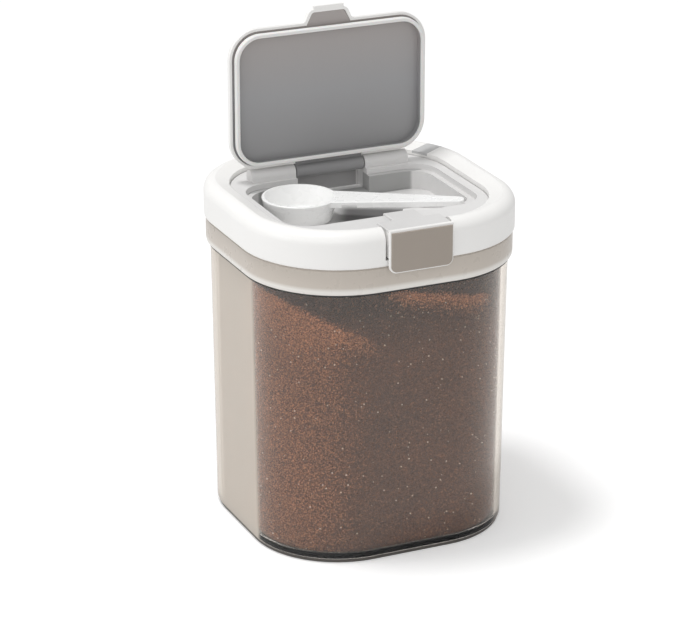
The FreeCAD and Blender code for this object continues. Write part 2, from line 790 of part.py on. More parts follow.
def make_latch():
    lever = Piece("latch_lever")
    lever.pad(latch_bottom, latch_top - latch_bottom, rectangle,
              -latch_half, latch_half, latch_front_face, latch_back_face)
    hook_top = latch_top - s.latch_hook_drop
    hook_low = hook_top - s.latch_hook
    bar_half = latch_half - s.latch_shoulder
    cheek_back = boss_back - s.latch_cheek_gap
    cheek_low = notch_floor + s.latch_cheek_rise
    cheek_inner = bar_half - s.latch_cheek
    for left, right in ((-bar_half, -cheek_inner), (cheek_inner, bar_half)):
        lever.pad(cheek_low, hook_low - cheek_low, rectangle, left, right, latch_back_face, cheek_back)
    corners = any_of(along_y(-latch_half, latch_bottom), along_y(latch_half, latch_bottom))
    lever.fillet(s.latch_corner, corners)
    lever.fillet(s.latch_edge, facing(latch_front_face))
    bore = s.latch_pin_diameter + s.pin_gap * 2
    reach = notch_half + s.overrun
    lever.cut(reach, reach * 2, circle, latch_pin_y, latch_pin_z, bore, plane="YZ_Plane")

    hook = Piece("latch_hook")
    hook_tip = nose_front + s.latch_catch
    hook_front = latch_back_face + s.latch_hook_groove
    plate_back = s.ring_band_width - ring_half
    tongue_half = s.tab_nose_width / 2
    hook.pad(hook_low, s.latch_hook, rectangle, -bar_half, bar_half, hook_front, plate_back)
    hook.pad(hook_low, s.latch_hook, rectangle, -tongue_half, tongue_half, hook_front, hook_tip)
    hook.fillet(s.latch_hook_round, level(hook_top))

    pad = Piece("latch_pad")
    pad_top = latch_top - s.latch_pad_drop
    pad_bottom = latch_bottom + s.latch_border
    pad_half = latch_half - s.latch_border
    pad.pad(pad_bottom, pad_top - pad_bottom, rectangle,
            -pad_half, pad_half, latch_front_face - s.latch_pad, latch_front_face)
    pad_corners = any_of(along_y(-pad_half, pad_bottom), along_y(pad_half, pad_bottom))
    pad.fillet(s.latch_corner - s.latch_border, pad_corners)
    pad.fillet(s.latch_pad_round, facing(latch_front_face - s.latch_pad))


def make_spring():
    """Torsion spring on the latch pin: a close coil with one leg each way."""
    half = s.spring_length / 2
    spring = Piece("latch_spring")
    spring.pad(-half, s.spring_length, circle, latch_pin_y, latch_pin_z, s.spring_outer, plane="YZ_Plane")
    leg_low = latch_pin_z - s.spring_outer / 2
    spring.pad(leg_low, s.spring_wire, rectangle, -half, -half + s.spring_wire,
               latch_pin_y - s.spring_leg_front, latch_pin_y)
    leg_high = latch_pin_z + s.spring_outer / 2 - s.spring_wire
    leg_back = plug_inset - s.fit_gap - ring_half
    spring.pad(leg_high, s.spring_wire, rectangle, half - s.spring_wire, half, latch_pin_y, leg_back)
    spring.cut(half + s.overrun, s.spring_length + s.overrun * 2, circle,
               latch_pin_y, latch_pin_z, s.spring_inner, plane="YZ_Plane")


def make_scoop():
    """Drawn about its own bowl with the handle along +X, then laid in the tray."""
    scoop = Piece("scoop")
    top = scoop_height
    bowl = [(ZERO, ZERO), (s.scoop_base_radius, ZERO), (s.scoop_top_radius, top), (ZERO, top)]
    scoop.turn("Revolution", bowl)
    scoop.fillet(s.scoop_base_round, level(ZERO))
    root = s.handle_root / 2
    tip = s.handle_tip / 2
    reach = handle_run.slant(handle_fall)
    low = top - handle_height
    wall = s.scoop_wall
    soft = s.handle_round
    scoop.pad(low, handle_height, soft_polygon, (ZERO, -root, wall), (reach, -tip, soft),
              (reach, tip, soft), (ZERO, root, wall))
    scoop.fillet(s.handle_edge, level(top))
    inner_top = s.scoop_top_radius - wall
    inner_base = s.scoop_base_radius - wall
    over = top + s.overrun
    hollow = [(ZERO, wall), (inner_base, wall), (inner_top, top), (inner_top, over), (ZERO, over)]
    scoop.turn("Groove", hollow)
    scoop.fillet(s.scoop_floor_round, level(wall))
    start = s.scoop_top_radius + wall
    thin = s.handle_round - wall
    scoop.cut(top - s.handle_skin, handle_height, soft_polygon, (start, wall - root, thin),
              (reach - wall, wall - tip, thin), (reach - wall, tip - wall, thin), (start, root - wall, thin))
    place = Vector(scoop_x.value, scoop_y.value, pocket_floor.value + s.part_gap.value)
    turned = math.degrees(math.atan2(handle_fall.value, handle_run.value))
    scoop.body.Placement = Placement(place, Rotation(Vector(0, 0, 1), -turned))


make_foot()
make_tub()
make_collar()
make_inlay(make_ring())
make_plug()
make_lid_gasket()
make_tray()
make_pin("hinge_pin", s.hinge_barrel_length / 2 + s.hinge_pin_bite, hinge_y, hinge_z, s.hinge_pin_diameter)
make_cover()
make_latch()
make_pin("latch_pin", notch_half + s.latch_pin_bite, latch_pin_y, latch_pin_z, s.latch_pin_diameter)
make_spring()
make_scoop()
doc.recompute()

faults = [item.Label for item in doc.Objects if {"Invalid", "Error"} & set(item.State)]
for piece in Piece.made:
    if piece.Shape.isNull() or not piece.Shape.isValid():
        faults.append(piece.Label)
if faults:
    raise RuntimeError(f"failed: {faults}")

os.makedirs("parts", exist_ok=True)
for piece in Piece.made:
    piece.Shape.exportStep(f"parts/{piece.Label}.step")
    box = piece.Shape.BoundBox
    low = f"{box.XMin:.1f} {box.YMin:.1f} {box.ZMin:.1f}"
    high = f"{box.XMax:.1f} {box.YMax:.1f} {box.ZMax:.1f}"
    print(f"{piece.Label}: {len(piece.Shape.Solids)} solid, {piece.Shape.Volume:.0f} mm3, {low} to {high}")
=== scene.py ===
# %% [markdown]
# A square kitchen canister: a clear tub with a dark foot and a pale collar, a white lid with a flip
# cover, a scoop in a tray and a latch in front. The solid parts are already modelled, so this lesson
# gives them their finishes, adds the granules in the tub and a wound spring, and lights the whole.

# %% Load the solid parts
import math

import bmesh
import bpy
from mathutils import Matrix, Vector


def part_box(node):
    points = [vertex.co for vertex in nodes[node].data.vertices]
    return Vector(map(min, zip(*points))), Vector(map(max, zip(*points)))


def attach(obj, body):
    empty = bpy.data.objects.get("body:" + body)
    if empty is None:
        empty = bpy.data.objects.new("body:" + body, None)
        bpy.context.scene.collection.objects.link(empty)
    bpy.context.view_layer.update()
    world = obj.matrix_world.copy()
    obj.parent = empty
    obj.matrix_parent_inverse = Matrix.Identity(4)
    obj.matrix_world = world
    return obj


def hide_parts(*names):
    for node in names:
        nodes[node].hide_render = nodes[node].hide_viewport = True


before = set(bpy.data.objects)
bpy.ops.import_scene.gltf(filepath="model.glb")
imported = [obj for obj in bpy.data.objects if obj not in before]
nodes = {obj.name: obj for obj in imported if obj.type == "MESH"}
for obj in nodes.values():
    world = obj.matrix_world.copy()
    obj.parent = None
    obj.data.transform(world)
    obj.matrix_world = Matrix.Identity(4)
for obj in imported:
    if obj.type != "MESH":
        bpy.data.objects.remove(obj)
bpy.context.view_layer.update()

# %% [markdown]
# The camera stands to the left of the latch and looks down on the lid. A long lens keeps the upright
# edges nearly parallel. It could be tracked to an empty, but a direction turned into a rotation leaves
# nothing behind in the scene.

# %% Camera
EYE = (-0.5362, -1.1701, 0.5894)
AIM = (-0.0078, 0.0035, 0.0960)
LENS = 157.6
SHIFT_UP = 0.0045


def add_object(name, data):
    """Puts a mesh, a lamp, a curve or a camera into the scene."""
    made = bpy.data.objects.new(name, data)
    bpy.context.scene.collection.objects.link(made)
    return made


def point_at(holder, place, target):
    holder.location = place
    holder.rotation_euler = (Vector(target) - Vector(place)).to_track_quat("-Z", "Y").to_euler()


camera = add_object("camera", bpy.data.cameras.new("camera"))
point_at(camera, EYE, AIM)
camera.data.lens = LENS
camera.data.shift_y = SHIFT_UP
bpy.context.scene.camera = camera
print("camera distance:", round(math.dist(EYE, AIM), 3))

# %% [markdown]
# Every finish below is a small tree of nodes. Two helpers keep them readable: one adds a node and
# fills or links its inputs by name, the other starts a material with its shader and output.

# %% Node helpers
def join(tree, kind, inputs=None, **settings):
    """Adds a node, sets it up, and gives each named input a value or another node's output."""
    made = tree.nodes.new(kind)
    for name, value in settings.items():
        setattr(made, name, value)
    for name, value in (inputs or {}).items():
        if isinstance(value, bpy.types.NodeSocket):
            tree.links.new(value, made.inputs[name])
        else:
            made.inputs[name].default_value = value
    return made


def start_material(name, **shader_inputs):
    """An empty material with one shader; the inputs are written with _ for each space."""
    material = bpy.data.materials.new(name)
    material.use_nodes = True
    tree = material.node_tree
    tree.nodes.clear()
    inputs = {key.replace("_", " "): value for key, value in shader_inputs.items()}
    shader = join(tree, "ShaderNodeBsdfPrincipled", inputs)
    join(tree, "ShaderNodeOutputMaterial", {"Surface": shader.outputs["BSDF"]})
    return material, tree, shader


print("node helpers:", join.__name__, start_material.__name__)

# %% [markdown]
# Colours are easiest to choose as they look on screen, so they are written that way and turned into
# the linear light that shaders use. Ramps and mixes then carry them from one tone to another.

# %% Colours
SCREEN_FULL = 255
MIX_SHARE, MIX_FIRST, MIX_SECOND, MIX_RESULT = 0, 6, 7, 2


def srgb(red, green, blue):
    """A colour as it looks on screen, 0 to 255, as linear light."""
    def linear(level):
        level = level / SCREEN_FULL
        return level / 12.92 if level <= 0.04045 else ((level + 0.055) / 1.055) ** 2.4
    return (linear(red), linear(green), linear(blue), 1.0)


def shade(colour, factor):
    return tuple(min(1.0, level * factor) for level in colour[:3]) + (1.0,)


def blend_tones(tree, factor, *stops):
    """A colour ramp on a factor, with stops given as a position and a colour."""
    ramp = join(tree, "ShaderNodeValToRGB", {"Fac": factor})
    tones = ramp.color_ramp.elements
    while len(tones) < len(stops):
        tones.new(0.5)
    for tone, (position, colour) in zip(tones, stops):
        tone.position = position
        tone.color = colour
    return ramp.outputs["Color"]


def mix_tones(tree, share, first, second):
    """Goes from one colour to another as a share goes from 0 to 1."""
    sockets = {MIX_SHARE: share, MIX_FIRST: first, MIX_SECOND: second}
    return join(tree, "ShaderNodeMix", sockets, data_type="RGBA").outputs[MIX_RESULT]


print("white as light:", [round(level, 3) for level in srgb(240, 240, 238)])

# %% [markdown]
# The finishes share a few steps: where a point lies on its part, a noise there, a range turned into
# another range, and a bump. Each is one short function, so that a finish reads as a list of steps.

# %% Steps of a finish
def object_place(tree):
    return join(tree, "ShaderNodeTexCoord").outputs["Object"]


def height_of(tree, place):
    return join(tree, "ShaderNodeSeparateXYZ", {"Vector": place}).outputs["Z"]


def noise(tree, place, scale, detail):
    made = join(tree, "ShaderNodeTexNoise", {"Vector": place, "Scale": scale, "Detail": detail})
    return made.outputs["Fac"]


def span(tree, value, start, end, low=0.0, high=1.0, **settings):
    """Turns the range from start to end into the range from low to high, and holds its ends."""
    made = join(tree, "ShaderNodeMapRange", {
        "Value": value, "From Min": start, "From Max": end, "To Min": low, "To Max": high}, **settings)
    return made.outputs["Result"]


def calculate(tree, operation, *values):
    made = join(tree, "ShaderNodeMath", dict(enumerate(values)), operation=operation)
    return made.outputs["Value"]


def raise_bump(tree, shader, height, strength, distance, **settings):
    bump = join(tree, "ShaderNodeBump", {
        "Strength": strength, "Distance": distance, "Height": height}, **settings)
    tree.links.new(bump.outputs["Normal"], shader.inputs["Normal"])


print("materials so far:", len(bpy.data.materials))

# %% [markdown]
# Most of the lid is injection-moulded plastic. A flat colour would look like paint, so the tone drifts
# a little over the part, the gloss varies on the scale of the mould's polish, and a very fine bump
# breaks up the highlights. Places that light hardly reaches, such as the tray under the scoop's
# handle, get painted shade inside a box with soft sides, and some parts get painted light and shade
# that fades by height.

# %% Moulded plastic
TONE_SCALE, TONE_DETAIL = 32.0, 3.0
POLISH_SCALE, POLISH_DETAIL, POLISH_SPREAD = 192.0, 4.0, 0.15
GRAIN_SCALE, GRAIN_DETAIL, GRAIN_HEIGHT = 2600.0, 2.0, 0.0001
NOISE_LOW, NOISE_HIGH = 0.3, 0.7
FADE_SHARE = 0.85


def box_share(tree, place, low, high, edge, turn):
    """1 inside a box of the object's space, turned about Z, and 0 outside, with a soft edge."""
    turned = join(tree, "ShaderNodeVectorRotate", {"Vector": place, "Angle": turn}, rotation_type="Z_AXIS")
    axes = join(tree, "ShaderNodeSeparateXYZ", {"Vector": turned.outputs["Vector"]}).outputs
    share = 1.0
    for axis, near, far in zip("XYZ", low, high):
        for start, end in ((near - edge, near), (far + edge, far)):
            side = span(tree, axes[axis], start, end, interpolation_type="SMOOTHSTEP")
            share = calculate(tree, "MULTIPLY", share, side)
    return share


def fade_by_height(tree, place, fade):
    """A colour that follows the height through a list of heights and colours."""
    low, high = fade[0][0], fade[-1][0]
    rise = span(tree, height_of(tree, place), low, high)
    return blend_tones(tree, rise, *[((at - low) / (high - low), tint) for at, tint in fade])


def moulded(name, colour, roughness, grain=0.02, drift=0.012, fade=None, painted_shade=(), **shader_inputs):
    """Opaque moulded plastic in one colour, with painted light and shade that fades by height, or painted
    shade in boxes, where asked.
    """
    material, tree, shader = start_material(name, **shader_inputs)
    place = object_place(tree)
    tone = blend_tones(tree, noise(tree, place, TONE_SCALE, TONE_DETAIL),
                       (NOISE_LOW, shade(colour, 1.0 - drift)), (NOISE_HIGH, shade(colour, 1.0 + drift)))
    # Painted light and shade that follows the height.
    if fade:
        tone = mix_tones(tree, FADE_SHARE, tone, fade_by_height(tree, place, fade))
    # Painted shade: each box darkens the tone where little light reaches.
    for low, high, edge, turn, tint in painted_shade:
        tone = mix_tones(tree, box_share(tree, place, low, high, edge, turn), tone, tint)
    tree.links.new(tone, shader.inputs["Base Color"])
    gloss = span(tree, noise(tree, place, POLISH_SCALE, POLISH_DETAIL), NOISE_LOW, NOISE_HIGH,
                 roughness * (1.0 - POLISH_SPREAD), roughness * (1.0 + POLISH_SPREAD))
    tree.links.new(gloss, shader.inputs["Roughness"])
    raise_bump(tree, shader, noise(tree, place, GRAIN_SCALE, GRAIN_DETAIL), grain, GRAIN_HEIGHT)
    return material


print("moulded plastic is ready")

# %% [markdown]
# Each plastic gets its colour. The liner gets painted light that grows towards its free edge, and the
# collar painted shade from the ring above that leaves only its lip paler, so both fade by height. A box
# of painted shade gives its two corners, the width of its soft edge, its turn and its tone; the shadow
# under the handle is turned as the scoop lies, and the tray's back wall gets painted shade too.

# %% The plastics
# Painted light on the liner, lighter towards the top, and painted shade from the ring on the collar.
LINER_PAINTED_LIGHT = ((0.163, srgb(146, 146, 147)), (0.195, srgb(161, 161, 163)), (0.228, srgb(173, 166, 163)))
COLLAR_RING_SHADOW = ((0.1307, srgb(236, 233, 228)), (0.1328, srgb(234, 231, 226)),
               (0.1345, srgb(196, 187, 177)), (0.1428, srgb(186, 177, 167)))
HANDLE_TURN = math.radians(27.3)
# Painted shadow under the scoop's handle, and painted shade on the tray's back wall.
HANDLE_SHADOW_BOX = ((-0.004, -0.0060, 0.140), (0.022, 0.0070, 0.1524), 0.0090, HANDLE_TURN, srgb(106, 105, 105))
BACK_WALL_SHADE_BOX = ((-0.050, 0.0255, 0.140), (0.050, 0.0330, 0.1524), 0.0008, 0.0, srgb(168, 168, 167))

white = moulded("lid_white", srgb(243, 242, 240), 0.34)
scoop_white = moulded("scoop_white", srgb(247, 247, 246), 0.28)
tray_grey = moulded("tray_grey", srgb(224, 223, 222), 0.38, painted_shade=(HANDLE_SHADOW_BOX, BACK_WALL_SHADE_BOX))
hook_grey = moulded("hook_grey", srgb(216, 215, 214), 0.38)
inlay_grey = moulded("inlay_grey", srgb(196, 196, 196), 0.42)
liner_grey = moulded("liner_grey", srgb(148, 146, 146), 0.36, fade=LINER_PAINTED_LIGHT)
bracket_grey = moulded("bracket_grey", srgb(164, 163, 163), 0.4)
taupe = moulded("latch_taupe", srgb(162, 152, 142), 0.5, grain=0.06)
collar_white = moulded("collar_off_white", srgb(210, 203, 194), 0.3, fade=COLLAR_RING_SHADOW)
foot_dark = moulded("foot_dark", srgb(88, 84, 80), 0.55, grain=0.15)
seal_dark = moulded("collar_seal_dark", srgb(44, 41, 38), 0.6, grain=0.1)
silicone = moulded("seal_white", srgb(232, 231, 229), 0.5, Subsurface_Weight=0.08, Subsurface_Scale=0.002)
print("plastics:", len(bpy.data.materials))

# %% [markdown]
# The pins and the spring are drawn steel wire. Drawing leaves fine lines along the wire, so the noise
# that varies the gloss is stretched along the pin, which lies across the canister.

# %% Steel
STEEL_TONE = (0.62, 0.61, 0.6, 1.0)
LINE_SCALES, LINE_DETAIL = (300.0, 6000.0, 6000.0), 2.0
STEEL_SMOOTH, STEEL_ROUGH = 0.22, 0.38
LINE_STRENGTH, LINE_HEIGHT = 0.1, 0.00005


def drawn_steel(name):
    material, tree, shader = start_material(name, Base_Color=STEEL_TONE, Metallic=1.0)
    along = join(tree, "ShaderNodeMapping", {"Vector": object_place(tree), "Scale": LINE_SCALES})
    lines = noise(tree, along.outputs["Vector"], 1.0, LINE_DETAIL)
    gloss = span(tree, lines, NOISE_LOW, NOISE_HIGH, STEEL_SMOOTH, STEEL_ROUGH)
    tree.links.new(gloss, shader.inputs["Roughness"])
    raise_bump(tree, shader, lines, LINE_STRENGTH, LINE_HEIGHT)
    return material


steel = drawn_steel("pin_steel")
print("made", steel.name)

# %% [markdown]
# The tub is clear plastic. Full transmission with the plastic's own index bends what is seen through
# the thick walls. On the sides that face left and right, a share of pale diffuse colour takes over from
# the transmission at a grazing angle: a painted reflection that makes those sides look milky.

# %% Clear plastic
CLEAR_TINT, PAINTED_REFLECTION_TONE = (0.97, 0.90, 0.83, 1.0), (0.68, 0.61, 0.53, 1.0)
PAINTED_REFLECTION_AT = 0.3
GRAZE_START, GRAZE_FULL, PAINTED_REFLECTION_MOST = 0.54, 0.605, 0.72
SIDEWAYS_START, SIDEWAYS_FULL = 0.6, 0.92
FILM_SCALE, FILM_DETAIL = 55.0, 4.0
FILM_LOW, FILM_HIGH, FILM_ROUGH = 0.35, 0.75, 0.05


def clear_plastic(name):
    material, tree, shader = start_material(name, IOR=1.49, Specular_IOR_Level=0.1)
    about = join(tree, "ShaderNodeTexCoord").outputs
    facing = join(tree, "ShaderNodeLayerWeight").outputs["Facing"]
    # Painted reflection: pale diffuse colour at a grazing angle on the sides that face left and right.
    graze = span(tree, facing, GRAZE_START, GRAZE_FULL, 0.0, PAINTED_REFLECTION_MOST)
    sideways = join(tree, "ShaderNodeSeparateXYZ", {"Vector": about["Normal"]}).outputs["X"]
    reflecting_side = span(tree, calculate(tree, "ABSOLUTE", sideways), SIDEWAYS_START, SIDEWAYS_FULL)
    painted_reflection = calculate(tree, "MULTIPLY", graze, reflecting_side)
    pale = blend_tones(tree, painted_reflection, (0.0, CLEAR_TINT), (PAINTED_REFLECTION_AT, PAINTED_REFLECTION_TONE))
    tree.links.new(pale, shader.inputs["Base Color"])
    tree.links.new(calculate(tree, "SUBTRACT", 1.0, painted_reflection), shader.inputs["Transmission Weight"])
    film = noise(tree, about["Object"], FILM_SCALE, FILM_DETAIL)
    gloss = span(tree, film, FILM_LOW, FILM_HIGH, 0.0, FILM_ROUGH)
    tree.links.new(gloss, shader.inputs["Roughness"])
    return material


clear = clear_plastic("tub_clear")
print("made", clear.name)

# %% [markdown]
# A solid keeps its shape and only changes its finish, so each node's material slots are filled. The
# spring is missing here, because a wound coil takes its place further down.

# %% Finish the solids
FINISHES = {
    "tub": clear,
    "foot_ring": foot_dark,
    "collar_seal": seal_dark,
    "collar": collar_white,
    "lid_ring": white,
    "ring_inlay": inlay_grey,
    "scoop_tray": tray_grey,
    "lid_plug": white,
    "lid_gasket": silicone,
    "hinge_bracket": bracket_grey,
    "hinge_pin": steel,
    "latch_pin": steel,
    "cover_shell": white,
    "cover_liner": liner_grey,
    "cover_gasket": silicone,
    "latch_lever": white,
    "latch_hook": hook_grey,
    "latch_pad": taupe,
    "scoop": scoop_white,
}
for name, finish in FINISHES.items():
    slots = nodes[name].material_slots
    for slot in slots:
        slot.material = finish
    if not slots:
        nodes[name].data.materials.append(finish)
print("finished:", len(FINISHES), "solids")

# %% [markdown]
# The granules fill the tub to the collar. Modelling every granule would take millions, so the body of
# the fill is one closed mesh that follows the inside of the tub, and loose granules come later. Its
# side is a stack of rounded squares, drawn in by the tub's wall and a little air.

# %% The outline of the fill
TUB_HALF, TUB_CORNER = 0.065, 0.046
INSET_LOW, INSET_HIGH = 0.0067, 0.0056
FLOOR_Z, NECK_Z = 0.0034, 0.1430
FLOOR_ROUND = 0.0015
AIR = 0.0005
ROUND_STEPS, STRAIGHT_STEPS = 16, 14
QUARTER_TURNS = ((1, 0), (0, 1), (-1, 0), (0, -1))


def outline(inset):
    """Points round the tub's rounded square, drawn in by an inset."""
    half, corner = TUB_HALF - inset, TUB_CORNER - inset
    core = half - corner
    side = []
    for step in range(ROUND_STEPS + 1):
        angle = math.pi / 2 * step / ROUND_STEPS
        side.append((core + corner * math.cos(angle), core + corner * math.sin(angle)))
    for step in range(1, STRAIGHT_STEPS):
        side.append((core - 2 * core * step / STRAIGHT_STEPS, half))
    return [(x * cos - y * sin, x * sin + y * cos) for cos, sin in QUARTER_TURNS for x, y in side]


def wall_inset(z):
    """How far the fill's side stands in from the tub's outline at a height."""
    rise = (z - FLOOR_Z) / (NECK_Z - FLOOR_Z)
    inset = INSET_LOW + (INSET_HIGH - INSET_LOW) * rise + AIR
    above = max(0.0, z - FLOOR_Z - AIR)
    if above < FLOOR_ROUND:
        inset += FLOOR_ROUND - math.sqrt(FLOOR_ROUND ** 2 - (FLOOR_ROUND - above) ** 2)
    return inset


print("points in a ring:", len(outline(wall_inset(FLOOR_Z))))

# %% [markdown]
# Shaken granules settle, and the last ones poured lie loose and lighter on top. Against the front wall,
# lighter granules paint the light on the crest of a long slope that falls from the left and of a low
# mound at the right, and painted light makes the left corner lighter all the way down. How loose or
# painted lighter each place is goes into the mesh as a number.

# %% Where the granules are loose or painted lighter
CREST_EDGE = 0.002
SLOPE_TOP, SLOPE_LEFT, SLOPE_FALL = 0.128, -0.062, 0.53
SLOPE_DEPTH, SLOPE_DEEPENING, DEEP_FROM = 0.010, 1.7, -0.028
SLOPE_END, SLOPE_FADE = -0.014, 0.014
MOUND_TOP, MOUND_LEFT, MOUND_FALL, MOUND_DEPTH = 0.129, -0.013, 0.22, 0.009
MOUND_START, MOUND_START_FADE = -0.016, 0.012
MOUND_END, MOUND_END_FADE = 0.044, 0.010
CORNER_LIGHT, CORNER_END, CORNER_FADE = 0.58, -0.020, 0.032
CORNER_TOP, CORNER_TOP_FADE = 0.118, 0.010
SIDE_CALM, SIDE_FADE = 0.002, 0.016


def clamp(level):
    return max(0.0, min(1.0, level))


def crest(z, top, depth):
    """1 just under a crest, falling to 0 at a depth below it and quickly above it."""
    return clamp(1.0 - (top - z) / depth) if z < top else clamp(1.0 - (z - top) / CREST_EDGE)


def side_painted_light(x, y, z):
    """How much painted light, as lighter granules, falls at a place on the side; the back repeats the front
    turned round.
    """
    along = x if y < 0 else -x
    slope_depth = SLOPE_DEPTH + SLOPE_DEEPENING * max(0.0, DEEP_FROM - along)
    # Painted light on the lit crests of the slope and the mound.
    slope = crest(z, SLOPE_TOP - (along - SLOPE_LEFT) * SLOPE_FALL, slope_depth)
    slope *= clamp((SLOPE_END - along) / SLOPE_FADE)
    mound = crest(z, MOUND_TOP - (along - MOUND_LEFT) * MOUND_FALL, MOUND_DEPTH)
    mound *= clamp((along - MOUND_START) / MOUND_START_FADE) * clamp((MOUND_END - along) / MOUND_END_FADE)
    # Painted light in the left corner, where light falls from the left.
    corner = CORNER_LIGHT * clamp((CORNER_END - along) / CORNER_FADE)
    corner *= clamp((CORNER_TOP - z) / CORNER_TOP_FADE)
    return max(slope, mound, corner) * clamp((abs(y) - SIDE_CALM) / SIDE_FADE)


print("loose at the left of the front:", round(side_painted_light(-0.05, -0.03, 0.115), 2))

# %% [markdown]
# The rings are joined into the fill's side, and shrinking rings close its top in a low heap with
# ripples. A lathe would not follow the square outline, so the faces are made ring by ring.

# %% The body of the fill
RIM_Z = 0.1293
SIDE_RINGS, TOP_RINGS = 90, 26
RING_CROWDING = 0.8
HEAP_RISE, RIPPLE_RISE = 0.0018, 0.0009
RIPPLE_X, RIPPLE_X_START = 310, 1.3
RIPPLE_Y, RIPPLE_Y_START = 270, 0.4
TOP_LOOSE, TOP_LOOSE_SWING, TOP_LOOSE_WAVE = 0.5, 0.3, 90


def heap_height(x, y, scale):
    ripple = math.sin(x * RIPPLE_X + RIPPLE_X_START) * math.sin(y * RIPPLE_Y + RIPPLE_Y_START)
    return RIM_Z + (1 - scale ** 2) * (HEAP_RISE + RIPPLE_RISE * ripple)


def fill_rings():
    """The points of every ring from the floor to the middle of the heap, and how loose or painted lighter
    each is.
    """
    rings, loose = [], []
    low = FLOOR_Z + AIR
    for step in range(SIDE_RINGS + 1):
        z = low + (RIM_Z - low) * (step / SIDE_RINGS) ** RING_CROWDING
        rings.append([(x, y, z) for x, y in outline(wall_inset(z))])
        loose += [side_painted_light(*point) for point in rings[-1]]
    for step in range(1, TOP_RINGS):
        scale = 1 - step / TOP_RINGS
        flat = [(x * scale, y * scale) for x, y in outline(wall_inset(RIM_Z))]
        rings.append([(x, y, heap_height(x, y, scale)) for x, y in flat])
        loose += [TOP_LOOSE + TOP_LOOSE_SWING * math.sin(x * TOP_LOOSE_WAVE) for x, y in flat]
    return rings, loose


def make_fill(name):
    points, loose = fill_rings()
    shape = bmesh.new()
    rings = [[shape.verts.new(point) for point in ring] for ring in points]
    count = len(rings[0])
    for inner, outer in zip(rings, rings[1:]):
        for index in range(count):
            after = (index + 1) % count
            shape.faces.new((inner[index], inner[after], outer[after], outer[index]))
    shape.faces.new(list(reversed(rings[0])))
    shape.faces.new(rings[-1])
    mesh = bpy.data.meshes.new(name)
    shape.to_mesh(mesh)
    shape.free()
    mesh.attributes.new("loose", "FLOAT", "POINT").data.foreach_set("value", loose)
    for face in mesh.polygons:
        face.use_smooth = True
    return add_object(name, mesh)


fill = make_fill("granule_fill")
print("fill faces:", len(fill.data.polygons))

# %% [markdown]
# The fill's finish has to read as fine grains through the wall. Cells of a Voronoi texture give each
# grain its own tone, a slower noise gives lighter and darker drifts, the lid keeps light from the top,
# and loose places and places of painted light show more of the lighter grains. The same cells raise
# the bump.

# %% Granules
CELL_SCALE = 2300.0
DRIFT_SCALE, DRIFT_DETAIL = 34.0, 6.0
DRIFT_DARK, DRIFT_LIGHT = 0.42, 0.58
TONE_START, SETTLED_END, LOOSE_END = 0.05, 0.6, 0.5
LID_SHADE_START, LID_SHADE_FULL, LID_SHADE_MOST, LID_SHADE_TONE = 0.100, 0.122, 0.85, 0.2
CHANCE_NONE, CHANCE_ALL = 0.75, 1.25
CELL_STRENGTH, CELL_HEIGHT = 0.7, 0.0004


def granules(name, dark, light, loose_dark, loose_light):
    material, tree, shader = start_material(name, Roughness=0.8)
    place = object_place(tree)
    cells = join(tree, "ShaderNodeTexVoronoi", {"Vector": place, "Scale": CELL_SCALE}).outputs
    grain = join(tree, "ShaderNodeSeparateColor", {"Color": cells["Color"]}).outputs
    drift = span(tree, noise(tree, place, DRIFT_SCALE, DRIFT_DETAIL), NOISE_LOW, NOISE_HIGH,
                 DRIFT_DARK, DRIFT_LIGHT)
    tone = calculate(tree, "MULTIPLY", grain["Red"], drift)
    settled = blend_tones(tree, tone, (TONE_START, dark), (SETTLED_END, light))
    lid_shade = span(tree, height_of(tree, place), LID_SHADE_START, LID_SHADE_FULL, 0.0, LID_SHADE_MOST)
    settled = mix_tones(tree, lid_shade, settled, shade(dark, LID_SHADE_TONE))
    loose = blend_tones(tree, tone, (TONE_START, loose_dark), (LOOSE_END, loose_light))
    # Loose granules on top and painted light on the side both raise the share of lighter grains.
    loose_or_lit = join(tree, "ShaderNodeAttribute", attribute_name="loose").outputs["Fac"]
    chance = calculate(tree, "ADD", loose_or_lit, grain["Green"])
    mixed = mix_tones(tree, span(tree, chance, CHANCE_NONE, CHANCE_ALL), settled, loose)
    tree.links.new(mixed, shader.inputs["Base Color"])
    raise_bump(tree, shader, cells["Distance"], CELL_STRENGTH, CELL_HEIGHT, invert=True)
    return material


ground = granules("granules", srgb(57, 33, 20), srgb(128, 85, 61), srgb(98, 59, 41), srgb(208, 146, 107))
fill.data.materials.append(ground)
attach(fill, "tub")
print("made", ground.name)

# %% [markdown]
# Loose granules lie on the heap and against the wall. Geometry Nodes scatters a small stone over the
# fill with a fixed seed, and turns and sizes each one by chance.

# %% A tree that scatters granules
FULL_TURNS = (6.28, 6.28, 6.28)
SCATTER_INPUTS = {
    "Surface": "NodeSocketGeometry",
    "Density": "NodeSocketFloat",
    "Smallest": "NodeSocketFloat",
    "Largest": "NodeSocketFloat",
    "Seed": "NodeSocketInt",
    "Finish": "NodeSocketMaterial",
}
FLOAT_MIN, FLOAT_MAX, FLOAT_VALUE, VECTOR_VALUE = 2, 3, 1, 0


